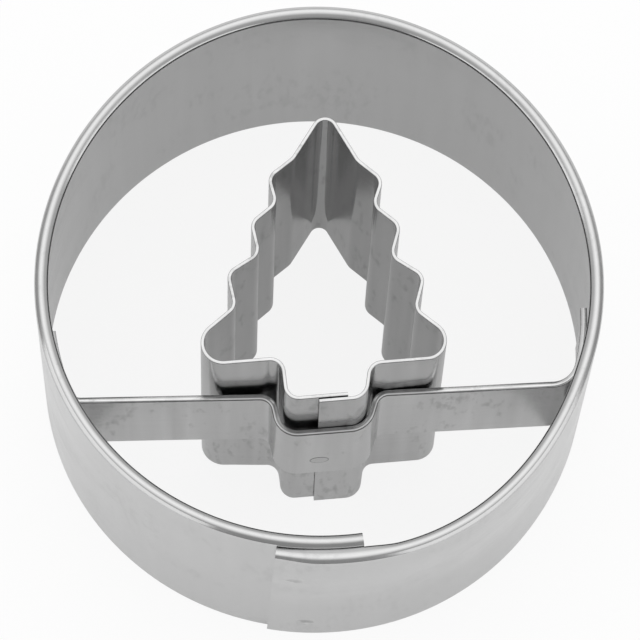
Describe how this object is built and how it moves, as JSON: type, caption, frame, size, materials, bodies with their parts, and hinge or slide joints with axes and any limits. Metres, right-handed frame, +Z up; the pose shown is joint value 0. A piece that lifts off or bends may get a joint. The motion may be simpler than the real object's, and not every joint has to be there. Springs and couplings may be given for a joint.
{
  "type": "tree cookie cutter",
  "caption": "Round steel cookie cutter with a rolled top bead and a lapped seam, holding a fir tree cutter in its middle on a bent bridge strap.",
  "frame": {"origin": "middle of the outer box in plan, on the plane of the cutting edges", "axes": "+Z up towards the beaded rim, -Y towards the front, where the ring laps and the tree's trunk points, +X to the right"},
  "size_m": [0.048, 0.0494, 0.028],
  "materials": {
    "ring_steel": "bright rolled strip",
    "tree_steel": "bright rolled strip",
    "strap_steel": "bright rolled strip",
    "weld_steel": "dull spot weld"
  },
  "bodies": {
    "root": {"ring_band": "ring_steel", "tree_band": "tree_steel", "bridge_strap": "strap_steel", "ring_seam_weld_lower": "weld_steel", "ring_seam_weld_upper": "weld_steel", "tree_seam_weld_lower": "weld_steel", "tree_seam_weld_upper": "weld_steel", "trunk_weld": "weld_steel", "left_tab_weld": "weld_steel", "right_tab_weld": "weld_steel"}
  },
  "joints": []
}
